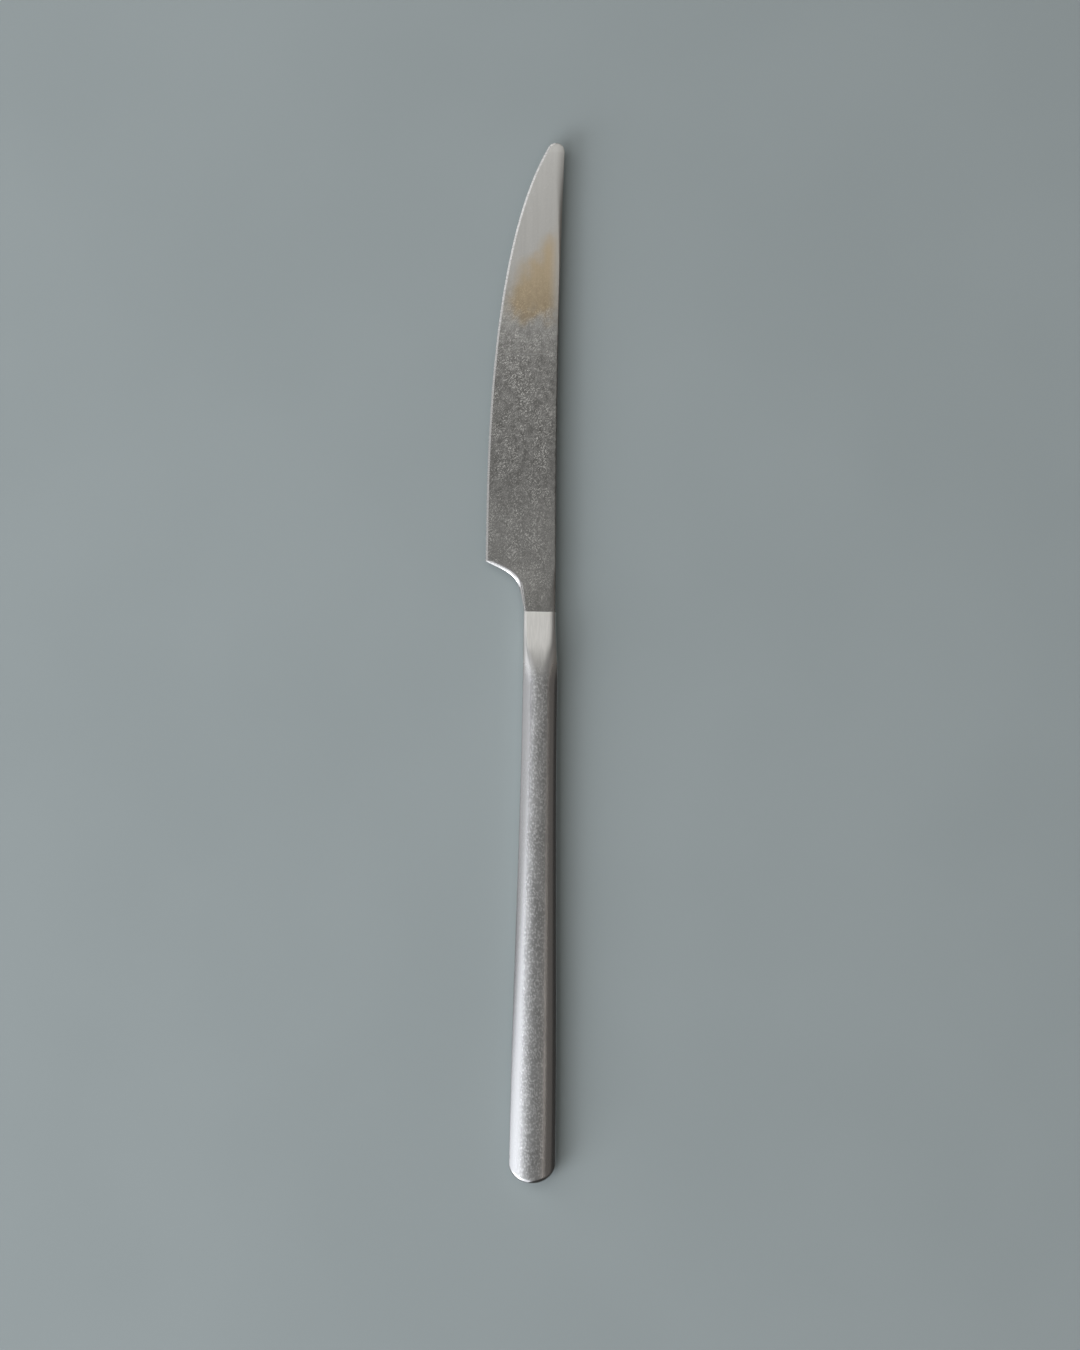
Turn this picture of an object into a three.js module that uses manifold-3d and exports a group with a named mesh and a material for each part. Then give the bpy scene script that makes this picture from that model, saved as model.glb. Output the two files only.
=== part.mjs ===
// Table knife with a hollow handle, lying flat on its side.
//
// Millimetres, +Z up. Every piece is modelled with the butt at y = 0, the tip towards +Y, the spine of the
// blade towards +X and the table at z = 0, on the centre line of the handle. The finished group is then
// moved so that the middle of the knife's footprint on the table is the origin.
//
// The blade, its neck ramp and its tang are one forging. The handle is two pressed half shells, brazed
// together along their rim and brazed to the back of the ramp, with cement set round the tang inside.

import * as THREE from 'three';
import { mergeVertices } from 'three/addons/utils/BufferGeometryUtils.js';
import Module from 'manifold-3d';

const { lerp, smoothstep, degToRad } = THREE.MathUtils;

// Lengths along the knife
const KNIFE_LENGTH = 235;
const BLADE_LENGTH = 106; // from the crease at the neck to the tip
const RAMP_LENGTH = 17; // from the crease back to the full section of the handle
const RAMP_EASE = 11; // the last stretch of the ramp, where it levels out
const NECK_LENGTH = 0.5; // parallel neck between the crease and the choil
const CHOIL_LENGTH = 10.7; // the scoop from the neck out to the heel
const CHOIL_BEND_DROP = 3.4; // how far the bend of the choil lies below the heel
const STRAIGHT_EDGE = 10.7; // straight cutting edge in front of the heel

// Outline of the blade, measured sideways from the centre line of the handle
const EDGE_REACH = 12.77;
const NECK_REACH = 3.97; // side of the neck below the choil
const CHOIL_BEND_REACH = 5.42; // the point that the choil bends round
const SPINE_REACH_NECK = 3.3;
const SPINE_REACH_TIP = 3.55;
const SPINE_SAG = 0.66; // how far the spine dips towards the edge half way along
const TIP_RADIUS = 2;
const TIP_ANGLE = 29.6; // degrees between the cutting edge and the spine where the tip begins
const TIP_FLAT = 0.3;

// Thickness of the blade
const NECK_THICKNESS = 2.2;
const TIP_THICKNESS = 1.2;
const EDGE_THICKNESS = 0.6; // behind the bevel
const EDGE_LAND = 0.16; // at the cutting edge itself
const BEVEL_WIDTH = 0.7;
const SPINE_ROUND = 0.5;
const NECK_ROUND = 0.5;

// Handle
const HANDLE_THICKNESS = 5.2;
const HANDLE_NECK_WIDTH = 7.9;
const HANDLE_BUTT_WIDTH = 10.5;
const HANDLE_FLAT_WIDTH = 2.8; // flat strip along the top and the underside
const CROWN_ANGLE = 42; // degrees that the crowned faces have turned down at the upright sides
const BUTT_ROUND_LENGTH = 4; // rounding of the butt, seen from above
const BUTT_EDGE_RADIUS = 1.1; // rounding of the butt, seen from the side
const BUTT_NIB_WIDTH = 1.5; // small flat at the very end
const NIB_FLAT_SHARE = 0.4; // share of the half width that stays flat where the butt is narrow
const SHELL_WALL = 0.8;

// Joints
const SEAM_BRAZE = 0.2; // thickness of the braze between the two shells
const NECK_BRAZE = 0.2; // thickness of the braze between the shells and the ramp
const TANG_LENGTH = 58;
const TANG_WIDTH = 4.2;
const TANG_THICKNESS = 2;
const TANG_ROUND = 0.3;
const TANG_POINT_LENGTH = 6;
const TANG_POINT_WIDTH = 2.4;
const CEMENT_GAP = 0.15; // left round the cement as it shrinks

// Fineness of the facets
const CORNER_STEPS = 6;
const RAMP_STEPS = 10;
const CHOIL_STEPS = 10;
const EDGE_STEPS = 14;
const TIP_STEPS = 5;
const BUTT_STEPS = 7;
const GRIP_STEPS = 12;
const TIP_FILL = 0.8; // most of a narrow section's width that its rounded sides may take

// Places that follow from the sizes above
const MID_HEIGHT = HANDLE_THICKNESS / 2;
const CREASE_Y = KNIFE_LENGTH - BLADE_LENGTH;
const JOINT_Y = CREASE_Y - RAMP_LENGTH;
const SHELL_FRONT_Y = JOINT_Y - NECK_BRAZE;
const CHOIL_Y = CREASE_Y + NECK_LENGTH;
const HEEL_Y = CHOIL_Y + CHOIL_LENGTH;
const SWEEP_Y = HEEL_Y + STRAIGHT_EDGE;
const TIP_CENTRE = new THREE.Vector2(SPINE_REACH_TIP - TIP_RADIUS, KNIFE_LENGTH - TIP_RADIUS);
const NIB_ANGLE = Math.asin(BUTT_NIB_WIDTH / HANDLE_BUTT_WIDTH);
const FULL_ROUND = [0, Math.PI / 2]; // a rounding that turns from the face to an upright side

const wasm = await Module();
wasm.setup();

// Solids

/** Solid from a flat list of coordinates and a flat list of triangle corners. */
function solid(coordinates, corners) {
  const vertProperties = new Float32Array(coordinates);
  const triVerts = new Uint32Array(corners);
  return new wasm.Manifold(new wasm.Mesh({ numProp: 3, vertProperties, triVerts }));
}

/** Closed solid through convex rings of points that follow each other along +Y. */
function loft(rings) {
  const count = rings[0].length;
  const corners = [];
  for (let i = 0; i + 1 < rings.length; i++) {
    for (let j = 0; j < count; j++) {
      const a = i * count + j;
      const b = i * count + ((j + 1) % count);
      corners.push(a, a + count, b + count, a, b + count, b);
    }
  }
  const last = (rings.length - 1) * count;
  for (let j = 1; j + 1 < count; j++) {
    corners.push(0, j, j + 1, last, last + j + 1, last + j);
  }
  return solid(rings.flat().flatMap((point) => point.toArray()), corners);
}

/** Everything between two heights, as a block that reaches well past the knife. */
function layer(bottom, top) {
  const block = new THREE.BoxGeometry(2 * KNIFE_LENGTH, 4 * KNIFE_LENGTH, top - bottom);
  block.translate(0, 0, (bottom + top) / 2);
  block.deleteAttribute('normal');
  block.deleteAttribute('uv');
  const merged = mergeVertices(block);
  return solid(merged.attributes.position.array, merged.index.array);
}

/** Named mesh of a finished solid, with its own material. */
function piece(name, body, look) {
  const { vertProperties, triVerts } = body.getMesh();
  const geometry = new THREE.BufferGeometry();
  geometry.setAttribute('position', new THREE.BufferAttribute(vertProperties, 3));
  geometry.setIndex(new THREE.BufferAttribute(triVerts, 1));
  geometry.computeVertexNormals();
  const mesh = new THREE.Mesh(geometry, new THREE.MeshStandardMaterial(look));
  mesh.name = name;
  return mesh;
}

/**
 * Ring of points across the knife at y: a slab between two sides, each with its own half thickness and an
 * elliptical rounding that turns between two angles from the upright, so that it can be a crowned handle, a
 * flat neck or a blade that thins to its edge.
 */
function ring(y, left, right) {
  const fit = Math.min(1, (TIP_FILL * (right.x - left.x)) / (left.roundX + right.roundX));
  const points = [];
  for (let quarter = 0; quarter < 4; quarter++) {
    const across = quarter === 0 || quarter === 3 ? 1 : -1;
    const up = quarter < 2 ? 1 : -1;
    const side = across > 0 ? right : left;
    const [start, end] = side.turn;
    const radiusX = (fit * side.roundX) / (Math.sin(end) - Math.sin(start));
    const radiusZ = side.roundZ / (Math.cos(start) - Math.cos(end));
    for (let step = 0; step <= CORNER_STEPS; step++) {
      const share = step / CORNER_STEPS;
      const angle = lerp(start, end, across === up ? 1 - share : share);
      const x = side.x - across * radiusX * (Math.sin(end) - Math.sin(angle));
      const z = MID_HEIGHT + up * (side.half - radiusZ * (Math.cos(start) - Math.cos(angle)));
      points.push(new THREE.Vector3(x, y, z));
    }
  }
  return points;
}

// Handle

/** Share of its full size that the handle has at y on the rounded butt, for a rounding of this length. */
function buttShare(y, length, inset) {
  const back = Math.max(0, length * Math.cos(NIB_ANGLE) - y) / (length - inset);
  return Math.sqrt(1 - back ** 2);
}

/**
 * Right side of the handle's section at y, set in from the outside by inset. The faces are arcs round the
 * middle of the handle, planed flat along their crown.
 */
function handleSide(y, inset) {
  const swell = 1 - smoothstep(y, BUTT_ROUND_LENGTH, JOINT_Y);
  const width = lerp(HANDLE_NECK_WIDTH, HANDLE_BUTT_WIDTH, swell);
  const x = (width / 2 - inset) * buttShare(y, BUTT_ROUND_LENGTH, inset);
  const flat = Math.min(HANDLE_FLAT_WIDTH / 2, NIB_FLAT_SHARE * x);
  const edgeDrop = (BUTT_EDGE_RADIUS - inset) * (1 - buttShare(y, BUTT_EDGE_RADIUS, inset));
  const half = HANDLE_THICKNESS / 2 - inset - edgeDrop;
  const crownAngle = degToRad(CROWN_ANGLE);
  const radius = x / Math.sin(crownAngle);
  const flatAngle = Math.asin(flat / radius);
  const roundZ = radius * (Math.cos(flatAngle) - Math.cos(crownAngle));
  return { x, half, roundX: x - flat, roundZ, turn: [flatAngle, crownAngle] };
}

function handleRing(y, inset) {
  const side = handleSide(y, inset);
  return ring(y, { ...side, x: -side.x }, side);
}

/** The handle from its butt to front as one solid, set in from the outside by inset. */
function handleSolid(inset, front) {
  const buttCentre = BUTT_ROUND_LENGTH * Math.cos(NIB_ANGLE);
  const rings = [];
  for (let i = 0; i < BUTT_STEPS; i++) {
    const angle = lerp(NIB_ANGLE, Math.PI / 2, i / BUTT_STEPS);
    rings.push(handleRing(buttCentre - (BUTT_ROUND_LENGTH - inset) * Math.cos(angle), inset));
  }
  for (let i = 0; i <= GRIP_STEPS; i++) {
    rings.push(handleRing(lerp(buttCentre, front, i / GRIP_STEPS), inset));
  }
  return loft(rings);
}

/** The two half shells and the braze between them, cut from one hollow handle at the seam. */
function shellSolids() {
  const hollow = handleSolid(SHELL_WALL, JOINT_Y);
  const wall = handleSolid(0, SHELL_FRONT_Y).subtract(hollow);
  const seamBottom = MID_HEIGHT - SEAM_BRAZE / 2;
  const seamTop = MID_HEIGHT + SEAM_BRAZE / 2;
  return {
    lower: wall.intersect(layer(-HANDLE_THICKNESS, seamBottom)),
    seam: wall.intersect(layer(seamBottom, seamTop)),
    upper: wall.intersect(layer(seamTop, 2 * HANDLE_THICKNESS)),
  };
}

/** Braze between the rim of the shells and the back of the ramp. */
function neckBrazeSolid() {
  const disc = loft([handleRing(SHELL_FRONT_Y, 0), handleRing(JOINT_Y, 0)]);
  const bore = loft([
    handleRing(SHELL_FRONT_Y - NECK_BRAZE, SHELL_WALL),
    handleRing(JOINT_Y + NECK_BRAZE, SHELL_WALL),
  ]);
  return disc.subtract(bore);
}

/** Cement that fills the hollow handle, with the socket that it leaves round the tang. */
function cementSolid() {
  const fill = handleSolid(SHELL_WALL + CEMENT_GAP, SHELL_FRONT_Y);
  return fill.subtract(tangSolid(CEMENT_GAP));
}

// Blade, ramp and tang

/** Ring of the tang, a plain bar with rounded corners. */
function tangRing(y, width, clearance) {
  const half = TANG_THICKNESS / 2 + clearance;
  const side = (x) => ({ x, half, roundX: TANG_ROUND, roundZ: TANG_ROUND, turn: FULL_ROUND });
  return ring(y, side(-width / 2 - clearance), side(width / 2 + clearance));
}

/** Rings of the tang from its blunt point to the shoulder behind the ramp. */
function tangRings(clearance) {
  const end = JOINT_Y - TANG_LENGTH;
  return [
    tangRing(end - clearance, TANG_POINT_WIDTH, clearance),
    tangRing(end + TANG_POINT_LENGTH - clearance, TANG_WIDTH, clearance),
    tangRing(JOINT_Y, TANG_WIDTH, clearance),
  ];
}

function tangSolid(clearance) {
  return loft(tangRings(clearance));
}

/** Share of the ramp's rise at y: a straight slope that levels out over RAMP_EASE at the handle. */
function rampShare(y) {
  const along = y - JOINT_Y;
  const eased = along < RAMP_EASE ? along ** 2 / (2 * RAMP_EASE) : along - RAMP_EASE / 2;
  return 1 - eased / (RAMP_LENGTH - RAMP_EASE / 2);
}

/** Ring of the ramp, from the full handle at the joint to the flat neck at the crease. */
function rampRing(y) {
  const rise = rampShare(y);
  const swell = 1 - smoothstep(y, JOINT_Y, CREASE_Y);
  const grip = handleSide(JOINT_Y, 0);
  const side = (neckX, gripX) => ({
    x: lerp(neckX, gripX, swell),
    half: lerp(NECK_THICKNESS / 2, grip.half, rise),
    roundX: lerp(NECK_ROUND, grip.roundX, rise),
    roundZ: lerp(NECK_ROUND, grip.roundZ, rise),
    turn: grip.turn.map((angle, i) => lerp(FULL_ROUND[i], angle, rise)),
  });
  return ring(y, side(-NECK_REACH, -grip.x), side(SPINE_REACH_NECK, grip.x));
}

/** Spine of the blade at y, which the round tip closes over. */
function spineX(y) {
  const along = (y - CREASE_Y) / (TIP_CENTRE.y - CREASE_Y);
  if (along <= 1) {
    return lerp(SPINE_REACH_NECK, SPINE_REACH_TIP, along) - 4 * SPINE_SAG * along * (1 - along);
  }
  const above = Math.min(y - TIP_CENTRE.y, TIP_RADIUS);
  return TIP_CENTRE.x + Math.max(Math.sqrt(TIP_RADIUS ** 2 - above ** 2), TIP_FLAT / 2);
}

/** Ring of the blade at y, from its spine to the choil, the cutting edge or the tip at edgeX. */
function bladeRing(y, edgeX) {
  const toEdge = y < HEEL_Y ? (edgeX + NECK_REACH) / (NECK_REACH - EDGE_REACH) : 1;
  const edgeHalf = lerp(NECK_THICKNESS, EDGE_THICKNESS, toEdge) / 2;
  const left = {
    x: edgeX,
    half: edgeHalf,
    roundX: lerp(NECK_ROUND, BEVEL_WIDTH, toEdge),
    roundZ: edgeHalf - lerp(NECK_THICKNESS / 2 - NECK_ROUND, EDGE_LAND / 2, toEdge),
    turn: FULL_ROUND,
  };
  const right = {
    x: spineX(y),
    half: lerp(NECK_THICKNESS, TIP_THICKNESS, (y - CREASE_Y) / BLADE_LENGTH) / 2,
    roundX: SPINE_ROUND,
    roundZ: SPINE_ROUND,
    turn: FULL_ROUND,
  };
  return ring(y, left, right);
}

/** Points along the left side of the blade: choil, straight edge, sweep and tip. */
function edgePoints() {
  const neck = new THREE.Vector2(-NECK_REACH, CHOIL_Y);
  const bend = new THREE.Vector2(-CHOIL_BEND_REACH, HEEL_Y - CHOIL_BEND_DROP);
  const choil = new THREE.CubicBezierCurve(neck, bend, bend, new THREE.Vector2(-EDGE_REACH, HEEL_Y));
  const { x, y } = TIP_CENTRE;
  const tipAngle = degToRad(TIP_ANGLE);
  const topAngle = Math.acos(-TIP_FLAT / 2 / TIP_RADIUS);
  const tip = new THREE.EllipseCurve(x, y, TIP_RADIUS, TIP_RADIUS, Math.PI - tipAngle, topAngle, true);
  const sweepStart = new THREE.Vector2(-EDGE_REACH, SWEEP_Y);
  const sweepEnd = tip.getPoint(0);
  const bendY = sweepEnd.y - (sweepEnd.x + EDGE_REACH) / Math.tan(tipAngle);
  const sweep = new THREE.QuadraticBezierCurve(sweepStart, new THREE.Vector2(-EDGE_REACH, bendY), sweepEnd);
  return [
    ...choil.getPoints(CHOIL_STEPS),
    ...sweep.getPoints(EDGE_STEPS),
    ...tip.getPoints(TIP_STEPS).slice(1),
  ];
}

function bladeSolid() {
  const rampRings = [];
  for (let i = 0; i <= RAMP_STEPS; i++) {
    rampRings.push(rampRing(lerp(JOINT_Y, CREASE_Y, i / RAMP_STEPS)));
  }
  const bladeRings = edgePoints().map((point) => bladeRing(point.y, point.x));
  return loft([...tangRings(0), ...rampRings, ...bladeRings]);
}

// Assembly

const TUMBLED_STEEL = { color: 0x8f8d88, roughness: 0.42, metalness: 1 };
const SHELL_STEEL = { color: 0xa2a1a0, roughness: 0.4, metalness: 1 };
const BRAZE = { color: 0xb0aca2, roughness: 0.38, metalness: 1 };
const CEMENT = { color: 0x8a857b, roughness: 0.9, metalness: 0 };

const shells = shellSolids();
const knife = new THREE.Group();
knife.add(
  piece('blade', bladeSolid(), TUMBLED_STEEL),
  piece('handle_upper_shell', shells.upper, SHELL_STEEL),
  piece('handle_lower_shell', shells.lower, SHELL_STEEL),
  piece('seam_braze', shells.seam, BRAZE),
  piece('neck_braze', neckBrazeSolid(), BRAZE),
  piece('tang_cement', cementSolid(), CEMENT),
);

const footprint = new THREE.Box3().setFromObject(knife).getCenter(new THREE.Vector3());
knife.position.set(-footprint.x, -footprint.y, 0);

export default knife;
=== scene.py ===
"""Looks of a hollow-handled table knife in tumbled stainless steel, lying on its side.

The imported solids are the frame. The forged blade with its tang, the two pressed handle shells and the two
brazed joints are modelled again here with fine meshes in the same places, and the cement inside the handle
keeps its solid. Sizes are millimetres on the knife's own axes: x runs from the centre line of the handle
towards the spine, y from the butt towards the tip, and z from the table upwards.
"""

import logging
import math
from abc import ABC, abstractmethod
from collections.abc import Callable
from dataclasses import dataclass, field, replace
from enum import Enum, IntEnum
from functools import cached_property
from typing import Self

import bmesh
import bpy
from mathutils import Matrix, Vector
from mathutils.geometry import intersect_point_line


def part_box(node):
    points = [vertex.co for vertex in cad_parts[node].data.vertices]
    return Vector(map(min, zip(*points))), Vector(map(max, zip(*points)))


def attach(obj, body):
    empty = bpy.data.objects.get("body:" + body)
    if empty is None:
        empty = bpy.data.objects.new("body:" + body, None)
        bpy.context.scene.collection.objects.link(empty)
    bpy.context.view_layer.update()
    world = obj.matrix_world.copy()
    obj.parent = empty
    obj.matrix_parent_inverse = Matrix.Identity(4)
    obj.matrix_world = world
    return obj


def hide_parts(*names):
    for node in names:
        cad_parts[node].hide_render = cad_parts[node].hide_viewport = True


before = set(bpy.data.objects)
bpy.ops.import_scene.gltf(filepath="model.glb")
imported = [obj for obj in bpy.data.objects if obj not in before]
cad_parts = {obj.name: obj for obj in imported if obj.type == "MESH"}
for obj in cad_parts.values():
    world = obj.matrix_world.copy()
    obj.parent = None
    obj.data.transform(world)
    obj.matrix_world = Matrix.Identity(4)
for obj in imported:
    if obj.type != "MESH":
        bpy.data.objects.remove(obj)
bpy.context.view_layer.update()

LOG = logging.getLogger("table_knife")
BODY = "root"
MM = 0.001  # metres in a millimetre

# Fineness of the meshes
CORNER_STEPS = 12  # across the rounding at each side of a section
FACE_STEPS = 24  # across the face between two roundings
BUTT_STEPS = 22
GRIP_STEPS = 40
RAMP_STEPS = 28
CHOIL_STEPS = 30
HEEL_STEPS = 10
EDGE_STEPS = 6
SWEEP_STEPS = 44
TIP_STEPS = 14
SHARP_ANGLE = math.radians(20)  # edges that turn by more than this stay crisp
CUT_LIMIT = 1e-8  # a cut takes in the points that lie this close to it, in metres

Outputs = bpy.types.NodeOutputs
Socket = bpy.types.NodeSocket
Tree = bpy.types.NodeTree
Material = bpy.types.Material
Object = bpy.types.Object
BMesh = bmesh.types.BMesh
BMEdge = bmesh.types.BMEdge
BMFace = bmesh.types.BMFace
BMVert = bmesh.types.BMVert
Colour = tuple[float, float, float, float]


# Numbers and axes


def lerp(start: float, end: float, share: float) -> float:
    """Value at a share of the way from start to end."""
    return start + (end - start) * share


def spread(start: float, end: float, steps: int) -> list[float]:
    """Values in even steps from start to end, both of them included."""
    return [lerp(start, end, step / steps) for step in range(steps + 1)]


def smoothstep(start: float, end: float, value: float) -> float:
    """Smooth rise from 0 at start to 1 at end."""
    share = min(1.0, max(0.0, (value - start) / (end - start)))
    return share * share * (3 - 2 * share)


@dataclass(frozen=True)
class KnifeAxes:
    """The knife's own axes in the frame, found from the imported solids."""

    centre_x: float  # the handle's centre line, in metres
    butt_y: float  # the end of the butt, in metres

    @classmethod
    def from_frame(cls) -> Self:
        """Axes on the middle and the butt end of the upper shell."""
        low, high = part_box("handle_upper_shell")
        return cls((low[0] + high[0]) / 2, low[1])

    def x(self, place: float) -> float:
        """Place in the frame, in metres, of an x on the knife in millimetres."""
        return self.centre_x + place * MM

    def y(self, place: float) -> float:
        """Place in the frame, in metres, of a y on the knife in millimetres."""
        return self.butt_y + place * MM

    def point(self, x: float, y: float, z: float) -> Vector:
        """Place in the frame, in metres, of a point on the knife in millimetres."""
        return Vector((self.x(x), self.y(y), z * MM))

    def along(self, place: Vector) -> float:
        """How far along the knife, in millimetres, a place in the frame is."""
        return (place.y - self.butt_y) / MM


AXES = KnifeAxes.from_frame()


# Sections and the skin drawn through them


@dataclass(frozen=True)
class Crown:
    """How a face turns down towards a side: a wide arc, then a tight corner into the upright."""

    width: float  # from the start of the arc to the side
    angle: float  # that the arc has turned where the corner starts, in degrees
    corner: float  # radius of the corner

    @property
    def corner_width(self) -> float:
        """Width of the corner, seen from above."""
        return self.corner * (1 - math.sin(math.radians(self.angle)))

    @property
    def radius(self) -> float:
        """Radius of the arc."""
        return (self.width - self.corner_width) / math.sin(math.radians(self.angle))

    def drop(self, inset: float) -> float:
        """How far the face lies below its crown.

        Args:
            inset: Distance in from the side.

        Returns:
            The drop there.
        """
        if inset >= self.corner_width:
            out = max(0.0, self.width - inset)
            return self.radius - math.sqrt(self.radius**2 - out**2)
        cosine = math.cos(math.radians(self.angle))
        centre = self.radius * (1 - cosine) + self.corner * cosine
        out = self.corner - max(0.0, inset)
        return centre - math.sqrt(self.corner**2 - out**2)

    def shallow_drop(self, inset: float, most: float) -> float:
        """The drop at an inset, made shallower where the side may drop by no more than most."""
        return self.drop(inset) * min(1.0, most / self.drop(0.0))

    def towards(self, other: Self, share: float) -> Self:
        """The crown at a share of the way from this one to another."""
        width = lerp(self.width, other.width, share)
        return Crown(width, lerp(self.angle, other.angle, share), lerp(self.corner, other.corner, share))


@dataclass(frozen=True)
class Section:
    """Section across the knife, alike above and below its middle."""

    left: float  # place of the left side
    left_round: float  # width of the closely spaced points there
    right: float  # place of the right side
    right_round: float  # width of the closely spaced points there
    half: Callable[[float], float]  # half thickness at a place x

    def ring(self) -> list[tuple[float, float]]:
        """Points round the section, over the top from right to left and back below.

        Returns:
            Place x and height above the middle of each point.
        """
        corner = [1 - math.cos(angle) for angle in spread(0.0, math.pi / 2, CORNER_STEPS)]
        places = [self.right - self.right_round * share for share in corner]
        places += spread(self.right - self.right_round, self.left + self.left_round, FACE_STEPS)[1:-1]
        places += [self.left + self.left_round * share for share in reversed(corner)]
        over = [(x, self.half(x)) for x in places]
        return over + [(x, -z) for x, z in reversed(over)]


class Loft:
    """Skin drawn along the knife by extruding a ring of vertices from section to section."""

    LEFT_CORNERS = range(CORNER_STEPS + FACE_STEPS, 3 * CORNER_STEPS + FACE_STEPS + 2)

    def __init__(self, middle: float) -> None:
        """Starts an empty skin.

        Args:
            middle: Height of the middle of every section.
        """
        self.mesh: BMesh = bmesh.new()
        self.middle = middle
        self.number = self.mesh.verts.layers.int.new("number")
        self.rim: list[BMEdge] = []

    def draw(self, y: float, section: Section) -> list[BMEdge]:
        """Carries the skin on to a section. New vertices keep the numbers of those they come from.

        Args:
            y: Place of the section along the knife.
            section: The section there.

        Returns:
            The edges round the section.
        """
        ring = section.ring()
        if self.rim:
            made = bmesh.ops.extrude_edge_only(self.mesh, edges=self.rim)["geom"]
            verts = [item for item in made if isinstance(item, BMVert)]
            fresh = set(verts)
            edges = [item for item in made if isinstance(item, BMEdge)]
            self.rim = [edge for edge in edges if fresh.issuperset(edge.verts)]
        else:
            verts = bmesh.ops.create_circle(self.mesh, segments=len(ring), radius=1.0)["verts"]
            for number, vert in enumerate(verts):
                vert[self.number] = number
            self.rim = self.mesh.edges[:]
        for vert in verts:
            x, z = ring[vert[self.number]]
            vert.co = AXES.point(x, y, self.middle + z)
        return self.rim

    def close(self) -> None:
        """Fills the ring that the skin has reached."""
        bmesh.ops.edgeloop_fill(self.mesh, edges=self.rim)

    def on_left_corner(self, face: BMFace) -> bool:
        """Whether a face lies in the rounding or bevel along the left side."""
        return all(vert[self.number] in self.LEFT_CORNERS for vert in face.verts)


def as_piece(mesh: BMesh, name: str, node: str, slot: str) -> Object:
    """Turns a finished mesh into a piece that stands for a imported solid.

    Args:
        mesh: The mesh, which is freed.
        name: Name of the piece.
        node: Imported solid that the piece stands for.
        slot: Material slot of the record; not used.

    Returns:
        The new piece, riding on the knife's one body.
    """
    bmesh.ops.recalc_face_normals(mesh, faces=mesh.faces[:])
    for face in mesh.faces:
        face.smooth = True
    for edge in mesh.edges:
        if edge.calc_face_angle(0.0) > SHARP_ANGLE:
            edge.smooth = False
    data = bpy.data.meshes.new(name)
    mesh.to_mesh(data)
    mesh.free()
    piece = bpy.data.objects.new(name, data)
    bpy.context.scene.collection.objects.link(piece)
    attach(piece, BODY)
    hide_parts(node)
    return piece


def report(piece: Object) -> None:
    """Logs what a finished piece is made of."""
    finishes = ", ".join(material.name for material in piece.data.materials)
    LOG.info("%s: %d faces, %s", piece.name, len(piece.data.polygons), finishes)


# Finishes


class MixSocket(IntEnum):
    """Sockets of a Mix node that mixes colours, which has others of the same names."""

    FACTOR = 0
    A = 6
    B = 7
    RESULT = 2


def linear(code: str) -> Colour:
    """Linear colour of an sRGB hex value.

    Args:
        code: The value, such as "#a0a09c".

    Returns:
        Red, green, blue and a full alpha.
    """
    values = [int(code[place : place + 2], 16) / 255 for place in (1, 3, 5)]
    red, green, blue = (v / 12.92 if v <= 0.04045 else ((v + 0.055) / 1.055) ** 2.4 for v in values)
    return red, green, blue, 1.0


def add_node(tree: Tree, kind: str, inputs: dict[str | int, object], **settings: object) -> Outputs:
    """Adds a node with its settings, and links or sets its inputs.

    Args:
        tree: Node tree that the node is added to.
        kind: Type name of the node.
        inputs: For each input, by name or number, a socket to link or a value to set.
        settings: Properties of the node.

    Returns:
        The outputs of the new node.
    """
    node = tree.nodes.new(kind)
    for name, setting in settings.items():
        setattr(node, name, setting)
    for key, value in inputs.items():
        if isinstance(value, Socket):
            tree.links.new(value, node.inputs[key])
        else:
            node.inputs[key].default_value = value
    return node.outputs


@dataclass(frozen=True)
class Grain:
    """Marks of one size and direction on a surface."""

    width: float  # of a mark
    length: float  # of a mark
    turn: float = 0.0  # angle of its length from the knife's own, in degrees
    low: float = 0.3  # level of the noise at which a mark starts to show
    high: float = 0.7  # level of the noise at which it shows fully
    detail: float = 2.0  # how many finer layers it has

    def pattern(self, tree: Tree, place: Socket) -> Socket:
        """Draws the marks.

        Args:
            tree: Node tree of the material.
            place: Object coordinates.

        Returns:
            A value from 0 to 1 over the surface.
        """
        size = (self.width * MM, self.length * MM, self.width * MM)
        turned = {"Vector": place, "Rotation": (0.0, 0.0, math.radians(self.turn)), "Scale": size}
        mapped = add_node(tree, "ShaderNodeMapping", turned, vector_type="TEXTURE")
        marks = {"Vector": mapped["Vector"], "Scale": 1.0, "Detail": self.detail}
        noise = add_node(tree, "ShaderNodeTexNoise", marks)
        levels = {"Value": noise[0], "From Min": self.low, "From Max": self.high}
        return add_node(tree, "ShaderNodeMapRange", levels, interpolation_type="SMOOTHSTEP")["Result"]


@dataclass(frozen=True)
class Layer:
    """A colour that covers what lies below it."""

    share: Socket  # how far it covers it
    colour: Socket | Colour
    blend: str = "MIX"


@dataclass(frozen=True)
class Surface:
    """What a finish gives the shader over a surface."""

    ground: Socket | Colour  # colour under all layers
    layers: tuple[Layer, ...]  # from the lowest to the topmost
    roughness: Socket
    height: Socket  # height of the fine relief, from 0 to 1
    depth: float  # depth of that relief


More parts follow.
